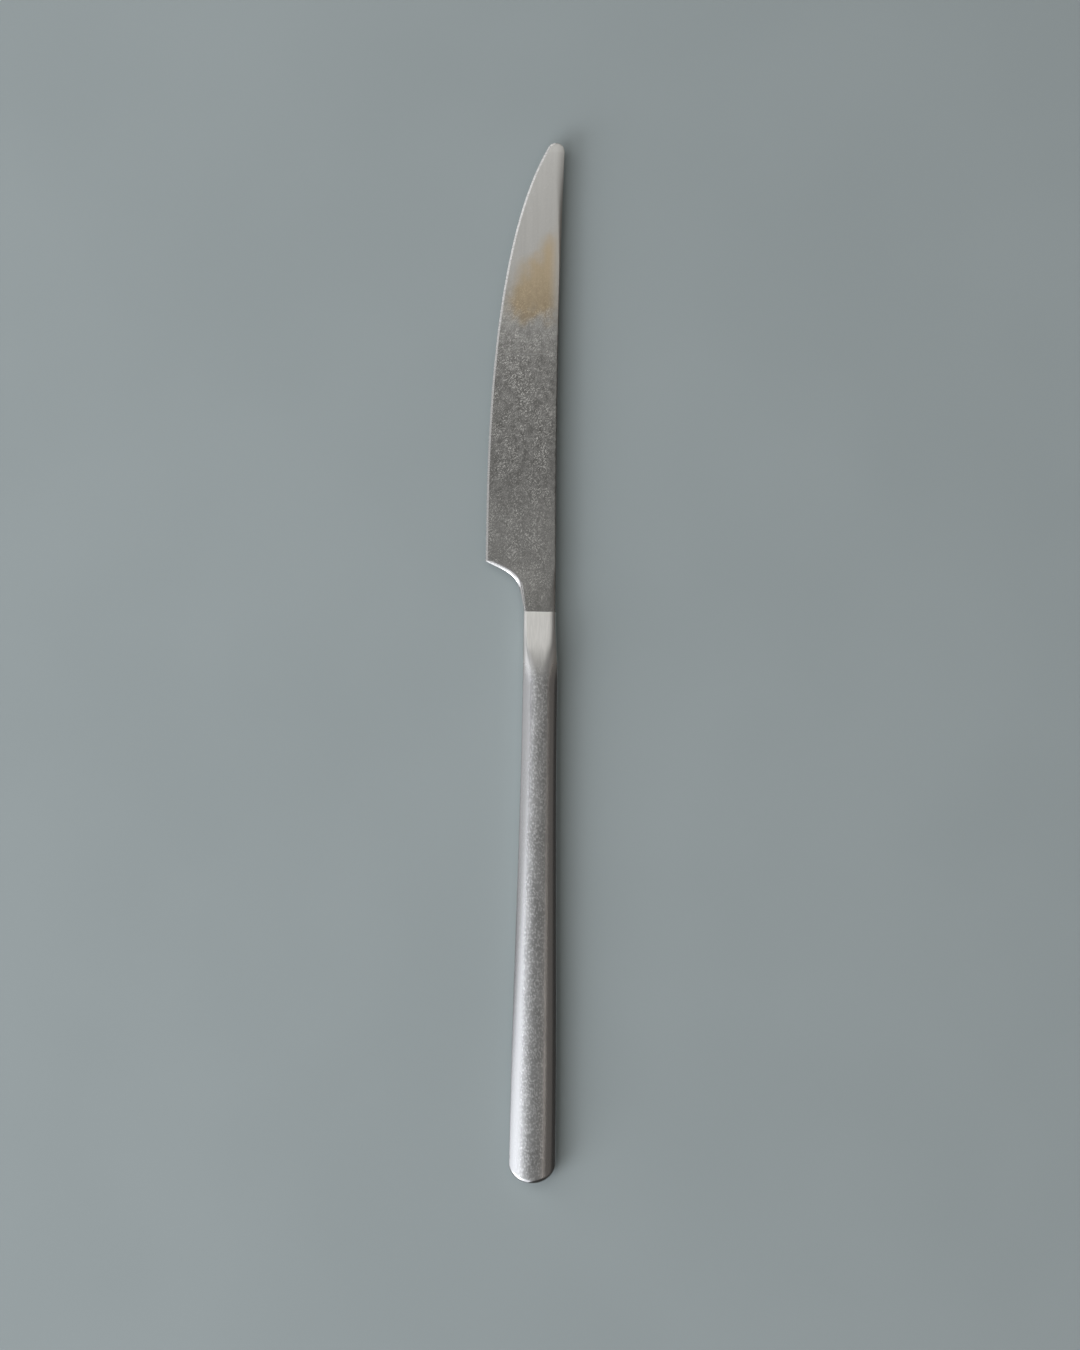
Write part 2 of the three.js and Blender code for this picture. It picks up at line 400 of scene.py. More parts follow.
@dataclass(frozen=True)
class Finish(ABC):
    """A material and how its surface was made."""

    name: str  # of the Blender material
    metallic: float = 1.0  # 0 for anything but a metal

    def material(self) -> Material:
        """Makes the Blender material of this finish.

        Returns:
            The material.
        """
        made = bpy.data.materials.new(self.name)
        made.use_nodes = True
        tree = made.node_tree
        surface = self.surface(tree, add_node(tree, "ShaderNodeTexCoord", {}))
        colour = surface.ground
        for layer in surface.layers:
            pair = {MixSocket.FACTOR: layer.share, MixSocket.A: colour, MixSocket.B: layer.colour}
            mixed = add_node(tree, "ShaderNodeMix", pair, data_type="RGBA", blend_type=layer.blend)
            colour = mixed[MixSocket.RESULT]
        relief = {"Height": surface.height, "Distance": surface.depth * MM}
        shader = tree.nodes["Principled BSDF"]
        shader.inputs["Metallic"].default_value = self.metallic
        tree.links.new(colour, shader.inputs["Base Color"])
        tree.links.new(surface.roughness, shader.inputs["Roughness"])
        tree.links.new(add_node(tree, "ShaderNodeBump", relief)["Normal"], shader.inputs["Normal"])
        return made

    @abstractmethod
    def surface(self, tree: Tree, coordinates: Outputs) -> Surface:
        """Lays the patterns of this finish.

        Args:
            tree: Node tree of the material.
            coordinates: Outputs of the material's Texture Coordinate node.

        Returns:
            What the patterns give the shader.
        """


@dataclass(frozen=True)
class TwoToned(Finish):
    """A surface of two close tones, the paler one smoother, in marks of one grain.

    Long marks are the fine lines of steel that was ground or brushed one way, which draw its reflections out
    across them. Round ones are the soft specks of a dull coat.
    """

    dark: str = "#b4b3b0"
    light: str = "#c2c1be"
    grain: Grain = Grain(width=0.35, length=7.0)
    depth: float = 0.0015
    smooth: float = 0.24
    rough: float = 0.3

    def surface(self, tree: Tree, coordinates: Outputs) -> Surface:
        """Lays the paler tone over the darker one.

        Args:
            tree: Node tree of the material.
            coordinates: Outputs of the material's Texture Coordinate node.

        Returns:
            What the two tones give the shader.
        """
        marks = self.grain.pattern(tree, coordinates["Object"])
        worn = {"Value": marks, "To Min": self.rough, "To Max": self.smooth}
        roughness = add_node(tree, "ShaderNodeMapRange", worn)["Result"]
        return Surface(linear(self.dark), (Layer(marks, linear(self.light)),), roughness, marks, self.depth)


@dataclass(frozen=True)
class TumbledBlade(Finish):
    """Stainless steel tumbled with stones and satin towards the tip, with a painted warm reflection between.

    Tumbling leaves small overlapping dents and strokes, which the eye sees as pale flecks on a dull grey
    ground with soft clouds in it. Real ones are about 0.2 mm wide and are drawn a little coarser here, so
    that they show. The tip was polished after it, so only faint lengthwise lines are left there and along
    the spine. Between the two lies a straw-coloured band with a blotchy border, a painted reflection of
    something warm.
    """

    dark: str = "#807f7c"
    middle: str = "#9d9c99"
    light: str = "#e6e5e0"
    # Paler colour towards the heel: painted light that stands in for brighter reflections on the blade
    # there.
    heel: str = "#b6b5b1"
    satin: str = "#bcbbb7"
    satin_light: str = "#c0bfbb"
    # Colour of the painted warm reflection.
    straw_reflection: str = "#fee9c9"
    flecks: Grain = Grain(width=0.3, length=0.36, turn=20, low=0.49, high=0.7, detail=3)
    strokes: Grain = Grain(width=0.22, length=0.8, turn=-38, low=0.55, high=0.7)
    patches: Grain = Grain(width=2.2, length=3.0)
    clouds: Grain = Grain(width=1.2, length=1.6, detail=3)
    lines: Grain = Grain(width=0.4, length=14.0)
    blotches: Grain = Grain(width=3.0, length=4.0, low=0.25, high=0.75, detail=3)
    dent_depth: float = 0.005
    fleck_share: float = 0.8  # how far a full mark covers the ground
    patch_share: float = 0.45  # how much of the mottle is left between its patches
    satin_share: float = 0.16  # how much of the mottle is left at the tip
    spine_share: float = 0.35  # how much of the mottle is left along the spine
    painted_heel_light_share: float = 0.46  # how far the painted light at the heel covers the ground
    satin_rough: float = 0.38
    tumbled_rough: float = 0.27
    mottle_from: float = 211.0
    mottle_full: float = 184.0
    painted_heel_light_from: float = 163.0
    painted_heel_light_full: float = 146.0
    spine_from: float = 0.4
    spine_full: float = 2.6
    # The tint values below place the painted warm reflection, a straw-coloured band across the blade.
    tint_low: float = 192.8
    tint_full: float = 198.5
    tint_core: float = 207.5
    tint_high: float = 217.5
    tint_climb: float = 1.2  # how much higher the tint reaches for each millimetre towards the spine
    tint_drift: float = 3.6  # how far the blotches push its border about
    tint_left: float = -10.6
    tint_right: float = -6.5
    tint_spine: float = 3.6
    tint_inside: float = 0.0

    def surface(self, tree: Tree, coordinates: Outputs) -> Surface:
        """Lays mottle, satin lines and tint over the blade.

        Args:
            tree: Node tree of the material.
            coordinates: Outputs of the material's Texture Coordinate node.

        Returns:
            What the patterns give the shader.
        """
        place = coordinates["Object"]
        axes = add_node(tree, "ShaderNodeSeparateXYZ", {"Vector": place})
        start, end = AXES.y(self.mottle_full), AXES.y(self.mottle_from)
        levels = {"Value": axes["Y"], "From Min": start, "From Max": end}
        polished = add_node(tree, "ShaderNodeMapRange", levels, interpolation_type="SMOOTHSTEP")["Result"]
        # Painted light: the ground grows paler towards the heel, standing in for brighter reflections there.
        start, end = AXES.y(self.painted_heel_light_from), AXES.y(self.painted_heel_light_full)
        levels = {"Value": axes["Y"], "From Min": start, "From Max": end, "To Max": self.painted_heel_light_share}
        heel = add_node(tree, "ShaderNodeMapRange", levels, interpolation_type="SMOOTHSTEP")["Result"]
        lines = {MixSocket.FACTOR: self.lines.pattern(tree, place)}
        lines |= {MixSocket.A: linear(self.satin), MixSocket.B: linear(self.satin_light)}
        satin = add_node(tree, "ShaderNodeMix", lines, data_type="RGBA")[MixSocket.RESULT]
        marks = self._marks(tree, place, axes, polished)
        layers = (
            Layer(self.clouds.pattern(tree, place), linear(self.middle)),
            # painted light towards the heel
            Layer(heel, linear(self.heel)),
            Layer(polished, satin),
            Layer(marks, linear(self.light)),
            # painted warm reflection, multiplied over the steel
            Layer(self._painted_warm_reflection(tree, place, axes), linear(self.straw_reflection), "MULTIPLY"),
        )
        worn = {"Value": polished, "To Min": self.tumbled_rough, "To Max": self.satin_rough}
        roughness = add_node(tree, "ShaderNodeMapRange", worn)["Result"]
        return Surface(linear(self.dark), layers, roughness, marks, self.dent_depth)

    def _marks(self, tree: Tree, place: Socket, axes: Outputs, polished: Socket) -> Socket:
        """Lays flecks and strokes in patches, fewer of them along the spine and at the tip.

        Args:
            tree: Node tree of the material.
            place: Object coordinates.
            axes: Object coordinates, one output for each.
            polished: How far the steel was polished.

        Returns:
            A value from 0 to the share of the pale colour that a full mark takes.
        """
        both = {0: self.flecks.pattern(tree, place), 1: self.strokes.pattern(tree, place)}
        marks = add_node(tree, "ShaderNodeMath", both, operation="MAXIMUM")[0]
        start, end = AXES.x(self.spine_from), AXES.x(self.spine_full)
        spine = {"Value": axes["X"], "From Min": start, "From Max": end}
        spine |= {"To Min": self.fleck_share, "To Max": self.fleck_share * self.spine_share}
        shares = (
            {"Value": polished, "To Min": 1.0, "To Max": self.satin_share},
            {"Value": self.patches.pattern(tree, place), "To Min": self.patch_share, "To Max": 1.0},
            spine,
        )
        for levels in shares:
            share = add_node(tree, "ShaderNodeMapRange", levels, interpolation_type="SMOOTHSTEP")["Result"]
            marks = add_node(tree, "ShaderNodeMath", {0: marks, 1: share}, operation="MULTIPLY")[0]
        return marks

    def _painted_warm_reflection(self, tree: Tree, place: Socket, axes: Outputs) -> Socket:
        """Lays the painted warm reflection, a straw-coloured band with a blotchy border that climbs towards
        the spine.

        Args:
            tree: Node tree of the material.
            place: Object coordinates.
            axes: Object coordinates, one output for each.

        Returns:
            A value from 0 to 1.
        """
        drift = {0: self.blotches.pattern(tree, place), 1: self.tint_drift * MM, 2: axes["Y"]}
        level = add_node(tree, "ShaderNodeMath", drift, operation="MULTIPLY_ADD")[0]
        climb = {0: axes["X"], 1: -self.tint_climb, 2: level}
        climbed = add_node(tree, "ShaderNodeMath", climb, operation="MULTIPLY_ADD")[0]
        shift = self.tint_drift * MM / 2
        lift = shift - self.tint_climb * AXES.centre_x
        borders = (
            (level, AXES.y(self.tint_low) + shift, AXES.y(self.tint_full) + shift),
            (climbed, AXES.y(self.tint_high) + lift, AXES.y(self.tint_core) + lift),
            (axes["X"], AXES.x(self.tint_left), AXES.x(self.tint_right)),
            (axes["X"], AXES.x(self.tint_spine), AXES.x(self.tint_inside)),
        )
        tint = 1.0
        for value, start, end in borders:
            levels = {"Value": value, "From Min": start, "From Max": end}
            share = add_node(tree, "ShaderNodeMapRange", levels, interpolation_type="SMOOTHSTEP")["Result"]
            tint = add_node(tree, "ShaderNodeMath", {0: tint, 1: share}, operation="MULTIPLY")[0]
        return tint


@dataclass(frozen=True)
class TumbledHandle(Finish):
    """Pressed stainless steel tumbled with stones and polished by hands along its flanks.

    The crown keeps pale flecks, drawn out along the handle, on a duller ground, and the flanks that fingers
    hold are nearly smooth, so the light along them stays a clean band.
    """

    dark: str = "#afafae"
    middle: str = "#bebebd"
    light: str = "#eeeeed"
    flank: str = "#c7c7c7"
    flecks: Grain = Grain(width=0.36, length=0.6, low=0.49, high=0.69, detail=3)
    strokes: Grain = Grain(width=0.3, length=0.8, turn=24, low=0.53, high=0.7)
    clouds: Grain = Grain(width=2.5, length=6.0, low=0.35, high=0.65, detail=1)
    dent_depth: float = 0.01
    fleck_share: float = 0.85  # how far a full mark covers the ground
    flank_normal: float = 0.885  # upward part of the normal where the flanks begin
    crown_normal: float = 0.985  # upward part of the normal where the crown is fully tumbled
    flank_rough: float = 0.2
    crown_rough: float = 0.3

    def surface(self, tree: Tree, coordinates: Outputs) -> Surface:
        """Lays flecks on the crown and leaves the flanks smooth.

        Args:
            tree: Node tree of the material.
            coordinates: Outputs of the material's Texture Coordinate node.

        Returns:
            What the patterns give the shader.
        """
        place = coordinates["Object"]
        upward = add_node(tree, "ShaderNodeSeparateXYZ", {"Vector": coordinates["Normal"]})["Z"]
        upward = add_node(tree, "ShaderNodeMath", {0: upward}, operation="ABSOLUTE")[0]
        levels = {"Value": upward, "From Min": self.crown_normal, "From Max": self.flank_normal}
        flank = add_node(tree, "ShaderNodeMapRange", levels, interpolation_type="SMOOTHSTEP")["Result"]
        both = {0: self.flecks.pattern(tree, place), 1: self.strokes.pattern(tree, place)}
        marks = add_node(tree, "ShaderNodeMath", both, operation="MAXIMUM")[0]
        fading = {"Value": flank, "To Min": self.fleck_share, "To Max": 0.0}
        share = add_node(tree, "ShaderNodeMapRange", fading)["Result"]
        marks = add_node(tree, "ShaderNodeMath", {0: marks, 1: share}, operation="MULTIPLY")[0]
        layers = (
            Layer(self.clouds.pattern(tree, place), linear(self.middle)),
            Layer(flank, linear(self.flank)),
            Layer(marks, linear(self.light)),
        )
        worn = {"Value": flank, "To Min": self.crown_rough, "To Max": self.flank_rough}
        roughness = add_node(tree, "ShaderNodeMapRange", worn)["Result"]
        return Surface(linear(self.dark), layers, roughness, marks, self.dent_depth)


@dataclass(frozen=True)
class BrushedRamp(TumbledHandle):
    """Tumbled stainless steel brushed along the knife on the ramp.

    Brushing leaves fine lengthwise lines that shine evenly and brightly. It fades out towards the handle, so
    the eye finds no border there.
    """

    brushed: str = "#cfcecb"
    brushed_light: str = "#d9d8d5"
    lines: Grain = Grain(width=0.35, length=7.0)
    brushed_rough: float = 0.28
    fade_from: float = 112.5
    fade_full: float = 118.5

    def surface(self, tree: Tree, coordinates: Outputs) -> Surface:
        """Lays the brushed steel over the tumbled one.

        Args:
            tree: Node tree of the material.
            coordinates: Outputs of the material's Texture Coordinate node.

        Returns:
            What the patterns give the shader.
        """
        tumbled = super().surface(tree, coordinates)
        place = coordinates["Object"]
        along = add_node(tree, "ShaderNodeSeparateXYZ", {"Vector": place})["Y"]
        levels = {"Value": along, "From Min": AXES.y(self.fade_from), "From Max": AXES.y(self.fade_full)}
        share = add_node(tree, "ShaderNodeMapRange", levels, interpolation_type="SMOOTHSTEP")["Result"]
        lines = {MixSocket.FACTOR: self.lines.pattern(tree, place)}
        lines |= {MixSocket.A: linear(self.brushed), MixSocket.B: linear(self.brushed_light)}
        brushed = add_node(tree, "ShaderNodeMix", lines, data_type="RGBA")[MixSocket.RESULT]
        layers = (*tumbled.layers, Layer(share, brushed))
        worn = {"Value": share, "To Min": tumbled.roughness, "To Max": self.brushed_rough}
        roughness = add_node(tree, "ShaderNodeMapRange", worn)["Result"]
        relief = {"Value": share, "To Min": tumbled.height, "To Max": 0.0}
        height = add_node(tree, "ShaderNodeMapRange", relief)["Result"]
        return Surface(tumbled.ground, layers, roughness, height, self.dent_depth)


# Every steel here is the same stainless alloy, and only the last step of its making differs.
BLADE_FINISH = TumbledBlade("stainless_steel_tumbled_and_satin")
HANDLE_FINISH = TumbledHandle("stainless_steel_pressed_and_tumbled")
# The ramp was brushed along the knife after the tumbling, so it is bright and nearly plain.
RAMP_FINISH = BrushedRamp("stainless_steel_tumbled_then_brushed")
# The bevel was ground on a stone square to the edge, so it is one thin bright line.
EDGE_FINISH = TwoToned("stainless_steel_ground", grain=Grain(width=2.5, length=0.4))
# The rounded side of the choil was polished on a mop, so it flashes white all along the scoop.
CHOIL_FINISH = TwoToned(
    "stainless_steel_polished", dark="#cbcac8", light="#d0cfcd", depth=0.0003, smooth=0.14, rough=0.18
)
# Nickel braze ground flush and tumbled with the shells, a touch warmer than the steel beside it.
BRAZE_FINISH = TumbledHandle("nickel_braze_ground_flush", middle="#bfbebc", flank="#c7c6c5")
# Mineral cement set in the mould of the shells: a dull grey-brown with fine sand in it.
CEMENT_FINISH = TwoToned(
    "mineral_cement_set",
    metallic=0.0,
    dark="#857f75",
    light="#8f8a80",
    grain=Grain(width=0.8, length=0.8),
    depth=0.05,
    smooth=0.8,
    rough=0.95,
)
# Painted board: cool pale grey, dull, with no more than a faint cloud in the paint.
BOARD_FINISH = TwoToned(
    "board_painted",
    metallic=0.0,
    dark="#aeb8b8",
    light="#b1bbbb",
    grain=Grain(width=60.0, length=60.0),
    depth=0.0,
    smooth=0.7,
    rough=0.75,
)


# Handle


@dataclass(frozen=True)
class HandleForm:
    """Shape of the handle: crowned above and below, swelling towards a rounded butt."""

    joint_y: float = 112.0  # front of the handle, where the ramp starts
    thickness: float = 5.2
    neck_width: float = 7.9  # at the front
    butt_width: float = 10.5
    butt_round: float = 4.0  # length of the rounded butt, seen from above
    butt_edge: float = 1.0  # width of the rounded edge round the butt
    nib_width: float = 0.3  # of the small flat at the very end
    crown_angle: float = 42.0  # that the crowned faces have turned at the sides, in degrees
    edge_angle: float = 50.0  # that the rounded edge has turned at the end of the butt, in degrees
    corner: float = 0.15  # radius between the crowned faces and the upright sides
    tight_corner: float = 0.1  # radius of that corner inside the shells and round the butt
    corner_band: float = 1.0  # width of the closely spaced points at the sides
    inset: float = 0.0  # how far the surface is set in from the outside

    @property
    def middle(self) -> float:
        """Height of the middle of the knife above the table."""
        return self.thickness / 2

    @property
    def nib_angle(self) -> float:
        """Angle round the butt at which the flat at its end stops."""
        return math.asin(self.nib_width / self.butt_width)

    @property
    def butt_centre(self) -> float:
        """Where the rounding of the butt starts."""
        return self.butt_round * math.cos(self.nib_angle)

    def crown(self, y: float) -> Crown:
        """Crown of the faces, without the rounding of the butt.

        Args:
            y: Place along the knife.

        Returns:
            The crown there.
        """
        swell = 1 - smoothstep(self.butt_round, self.joint_y, y)
        side = lerp(self.neck_width, self.butt_width, swell) / 2 - self.inset
        return Crown(side, self.crown_angle, self.tight_corner if self.inset else self.corner)

    def section(self, y: float) -> Section:
        """Section of the handle.

        Args:
            y: Place along the knife.

        Returns:
            The section there.
        """
        crown = self.crown(y)
        behind = max(0.0, self.butt_centre - y) / (self.butt_round - self.inset)
        side = crown.width * math.sqrt(1 - min(1.0, behind) ** 2)
        band = min(self.corner_band, side / 2)

        def half(x: float) -> float:
            """Half thickness at x."""
            face = self.thickness / 2 - self.inset - crown.drop(crown.width - abs(x))
            return face - self._butt_drop(x, behind)

        return Section(-side, band, side, band, half)

    def _butt_drop(self, x: float, behind: float) -> float:
        """How far the rounded edge of the butt lowers the face.

        Args:
            x: Place across the knife.
            behind: How far back the place lies in the rounding of the butt, from 0 to 1.

        Returns:
            The drop there, which fades out where the outline turns into the straight sides.
        """
        length = self.butt_round - self.inset
        width = self.butt_width / 2 - self.inset
        size = math.hypot(behind, x / width)
        slope = math.hypot(behind / length, x / width**2)
        facing = behind / length / slope if slope else 0.0
        edge_width = (self.butt_edge - self.inset) * facing
        if edge_width < self.tight_corner:
            return 0.0
        edge = Crown(edge_width, self.edge_angle * facing, self.tight_corner)
        return edge.drop(max(0.0, (1 - size) * size / slope))

    def rows(self, front: float) -> list[float]:
        """Places of the sections that draw the handle.

        Args:
            front: Place of the last section.

        Returns:
            The places from the butt forwards.
        """
        angles = spread(self.nib_angle, math.pi / 2, BUTT_STEPS)[:-1]
        rows = [self.butt_centre - (self.butt_round - self.inset) * math.cos(angle) for angle in angles]
        return rows + spread(self.butt_centre, front, GRIP_STEPS)


class Shell(Enum):
    """The layers of the hollow handle: name of the piece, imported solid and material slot."""

    UPPER = ("handle_shell_upper", "handle_upper_shell", "handle_steel")
    SEAM = ("braze_seam", "seam_braze", "braze")
    LOWER = ("handle_shell_lower", "handle_lower_shell", "handle_steel")


@dataclass
class Handle:
    """The two pressed shells, the braze along their seam and the braze at their front."""

    form: HandleForm
    wall: float = 0.75  # thickness of the shells
    seam: float = 0.2  # thickness of the braze between the shells
    neck: float = 0.2  # thickness of the braze in front of them
    pieces: list[Object] = field(default_factory=list)

    @property
    def front(self) -> float:
        """Front rim of the shells."""
        return self.form.joint_y - self.neck

    @property
    def hollow_form(self) -> HandleForm:
        """Shape of the inside of the shells."""
        return replace(self.form, inset=self.wall)

    def build(self) -> None:
        """Builds the three layers of the hollow handle and the ring of braze in front of them."""
        top = self.form.middle + self.seam / 2
        bottom = self.form.middle - self.seam / 2
        spans = {Shell.UPPER: (top, None), Shell.SEAM: (bottom, top), Shell.LOWER: (None, bottom)}
        for shell, span in spans.items():
            self.pieces.append(as_piece(self._layer(*span), *shell.value))
        self.pieces.append(as_piece(self._neck_ring(), "braze_neck", "neck_braze", "braze"))

    def dress(self) -> None:
        """Gives the shells their steel and the two joints their braze."""
        steel = HANDLE_FINISH.material()
        braze = BRAZE_FINISH.material()
        for piece in self.pieces:
            piece.data.materials.append(braze if piece.name.startswith("braze") else steel)

    def _layer(self, bottom: float | None, top: float | None) -> BMesh:
        """Cuts a layer from the hollow handle and closes it again.

        Args:
            bottom: Height of the cut below the layer, if it has one.
            top: Height of the cut above the layer, if it has one.

        Returns:
            The closed mesh.
        """
        mesh = self._hollow()
        for height, away in ((bottom, -1.0), (top, 1.0)):
            if height is None:
                continue
            geometry = mesh.verts[:] + mesh.edges[:] + mesh.faces[:]
            plane = {"plane_co": AXES.point(0.0, 0.0, height), "plane_no": Vector((0.0, 0.0, away))}
            made = bmesh.ops.bisect_plane(mesh, geom=geometry, dist=CUT_LIMIT, clear_outer=True, **plane)
            rim = [item for item in made["geom_cut"] if isinstance(item, BMEdge)]
            bmesh.ops.triangle_fill(mesh, edges=rim, use_dissolve=False)
        return mesh

    def _hollow(self) -> BMesh:
        """Draws the whole hollow handle, outside from the butt to the front and inside back again.

        Returns:
            The closed mesh.
        """
        loft = Loft(self.form.middle)
        for number, y in enumerate(self.form.rows(self.front)):
            loft.draw(y, self.form.section(y))
            if number == 0:
                loft.close()
        for y in reversed(self.hollow_form.rows(self.front)):
            loft.draw(y, self.hollow_form.section(y))
        loft.close()
        return loft.mesh

    def _neck_ring(self) -> BMesh:
        """Draws the ring of braze between the shells and the ramp.

        Returns:
            The closed mesh.
        """
        loft = Loft(self.form.middle)
        joint = self.form.joint_y
        first = loft.draw(self.front, self.form.section(self.front))
        loft.draw(joint, self.form.section(joint))
        loft.draw(joint, self.hollow_form.section(joint))
        last = loft.draw(self.front, self.hollow_form.section(self.front))
        bmesh.ops.bridge_loops(loft.mesh, edges=first + last)
        return loft.mesh


# Blade


class Coat(IntEnum):
    """Places of the blade's finishes in its list of materials."""

    BLADE = 0
    RAMP = 1
    EDGE = 2
    CHOIL = 3


@dataclass(frozen=True)
class Row:
    """A row of the blade."""

    y: float
    left: float  # place of the choil, cutting edge or tip
    squareness: float  # how square to the row that side runs, from 0 to 1
    side: float  # width of the rounding or bevel along that side


@dataclass(frozen=True)
class BladeForm:
    """Shape of the blade with its choil and round tip, the ramp behind it and the tang behind that."""

    grip: HandleForm  # the handle that the ramp grows out of
    crease_y: float = 129.0  # where the ramp meets the blade
    tip_y: float = 235.0  # end of the knife
    ramp_ease: float = 9.5  # last stretch of the ramp, where it levels out
    crown_power: float = 3.5  # how late on the ramp the crown of the handle shows
    neck_length: float = 0.5  # parallel neck in front of the crease
    choil_length: float = 10.7  # scoop from the neck to the heel
    bend_drop: float = 3.4  # how far the bend of the choil lies below the heel
    straight: float = 10.7  # straight cutting edge in front of the heel
    edge_reach: float = 12.77  # side of the cutting edge
    neck_reach: float = 3.97  # side of the neck below the choil
    bend_reach: float = 5.42  # side of the point that the choil bends round
    spine_neck: float = 3.3  # side of the spine at the neck
    spine_tip: float = 3.55  # side of the spine at the tip
    spine_sag: float = 0.66  # how far the spine dips half way along
    tip_radius: float = 2.0
    tip_angle: float = 29.6  # between edge and spine where the tip begins, in degrees
    tip_flat: float = 0.2  # width of the last section
    neck_thickness: float = 2.2
    tip_thickness: float = 1.2  # of the spine at the tip
    edge_thickness: float = 0.6  # behind the bevel
    land: float = 0.16  # thickness of the cutting edge itself
    bevel: float = 0.45  # width of the bevel
    grind_from: float = 0.6  # how square to the rows the edge runs where its bevel starts, past the tip
    grind_full: float = 0.87  # how square it runs where the bevel is ground to its full depth
    neck_crown: Crown = Crown(0.6, 50.0, 0.1)  # left side of the ramp at the crease
    ramp_crown: Crown = Crown(1.7, 14.0, 0.5)  # right side of the ramp at the crease
    choil_crown: Crown = Crown(1.1, 44.0, 0.1)
    choil_start: float = 0.5  # size of that rounding at the neck, as a share of its full size
    choil_full: float = 0.4  # how far along the choil its rounding is full
    spine_crown: Crown = Crown(0.3, 44.0, 0.1)
    tip_crown: Crown = Crown(2.0, 9.0, 0.05)  # side of the spine at the tip
    crown_fade: float = 12.0  # stretch over which the side of the neck goes over to the spine's
    tip_fade: float = 32.0  # stretch over which the side of the spine goes over to the tip's
    crown_most: float = 0.8  # most of a thin face that its rounding may take
    band_most: float = 0.35  # most of a narrow section that the closely spaced points may take
    tang_length: float = 58.0
    tang_width: float = 4.2
    tang_thickness: float = 2.0
    tang_point: float = 6.0  # length of its tapered end
    tang_end: float = 2.4  # width of its end
    tang_crown: Crown = Crown(0.3, 60.0, 0.1)

    @property
    def choil_y(self) -> float:
        """Where the choil starts."""
        return self.crease_y + self.neck_length

    @property
    def heel_y(self) -> float:
        """Where the choil ends and the cutting edge starts."""
        return self.choil_y + self.choil_length

    @property
    def tip_centre(self) -> Vector:
        """Centre of the round tip."""
        return Vector((self.spine_tip - self.tip_radius, self.tip_y - self.tip_radius))

    def tip_point(self, angle: float) -> Vector:
        """Point on the round tip at an angle from the cutting edge's side."""
        return self.tip_centre + self.tip_radius * Vector((-math.cos(angle), math.sin(angle)))

    def tang_sections(self) -> list[tuple[float, Section]]:
        """Sections of the tang, a bar with rounded sides.

        Returns:
            Places and sections from its end to the shoulder behind the ramp.
        """
        joint = self.grip.joint_y
        end = joint - self.tang_length
        widths = {end: self.tang_end, end + self.tang_point: self.tang_width, joint: self.tang_width}
        return [(y, self._tang_section(width / 2)) for y, width in widths.items()]

    def _tang_section(self, side: float) -> Section:
        """Section of the tang that reaches to a side."""
        half, band = self.tang_thickness / 2, self.tang_crown.width
        return Section(-side, band, side, band, lambda x: half - self.tang_crown.drop(side - abs(x)))

    def ramp_sections(self) -> list[tuple[float, Section]]:
        """Places and sections of the ramp, from the handle to the crease."""
        return [(y, self._ramp_section(y)) for y in spread(self.grip.joint_y, self.crease_y, RAMP_STEPS)]

    def _ramp_section(self, y: float) -> Section:
        """Section of the ramp, a straight slope that levels out and crowns towards the handle.

        Args:
            y: Place along the knife.

        Returns:
            The section there.
        """
        along = y - self.grip.joint_y
        length = self.crease_y - self.grip.joint_y
        eased = along**2 / (2 * self.ramp_ease) if along < self.ramp_ease else along - self.ramp_ease / 2
        rise = 1 - eased / (length - self.ramp_ease / 2)
        swell = 1 - smoothstep(self.grip.joint_y, self.crease_y, y)
        crown = self.grip.crown(self.grip.joint_y)
        left = lerp(-self.neck_reach, -crown.width, swell)
        right = lerp(self.spine_neck, crown.width, swell)
        face = lerp(self.neck_thickness, self.grip.thickness, rise) / 2
        left_crown = self.neck_crown.towards(crown, rise**self.crown_power)
        right_crown = self.ramp_crown.towards(crown, rise**self.crown_power)

        def half(x: float) -> float:
            """Half thickness at x."""
            return face - left_crown.drop(x - left) - right_crown.drop(right - x)

        band = self.grip.corner_band
        return Section(left, band, right, band, half)

    def blade_sections(self) -> list[tuple[float, Section]]:
        """Places and sections of the blade, from just past the crease to the tip."""
        return [(row.y, self._blade_section(row)) for row in self._choil_rows() + self._edge_rows()]

    @cached_property
    def choil_points(self) -> list[Vector]:
        """Points along the scoop from the neck to the heel."""
        neck = Vector((-self.neck_reach, self.choil_y))
        bend = Vector((-self.bend_reach, self.heel_y - self.bend_drop))
        heel = Vector((-self.edge_reach, self.heel_y))
        shares = spread(0.0, 1.0, CHOIL_STEPS)
        return [(1 - t) ** 3 * neck + 3 * t * (1 - t) * bend + t**3 * heel for t in shares]

    def _choil_rows(self) -> list[Row]:
        """Rows along the scoop.

        Returns:
            The rows from the neck to the heel.
        """
        points = self.choil_points
        rows = []
        for number, point in enumerate(points):
            direction = (points[min(number + 1, CHOIL_STEPS)] - points[max(number - 1, 0)]).normalized()
            side = self.choil_crown.width * self._choil_size(number)
            rows.append(Row(point.y, point.x, direction.y, side))
        return rows

    def _choil_size(self, number: int) -> float:
        """Share of its full size that the choil's rounding has at a point along it."""
        return lerp(self.choil_start, 1.0, smoothstep(0.0, self.choil_full, number / CHOIL_STEPS))

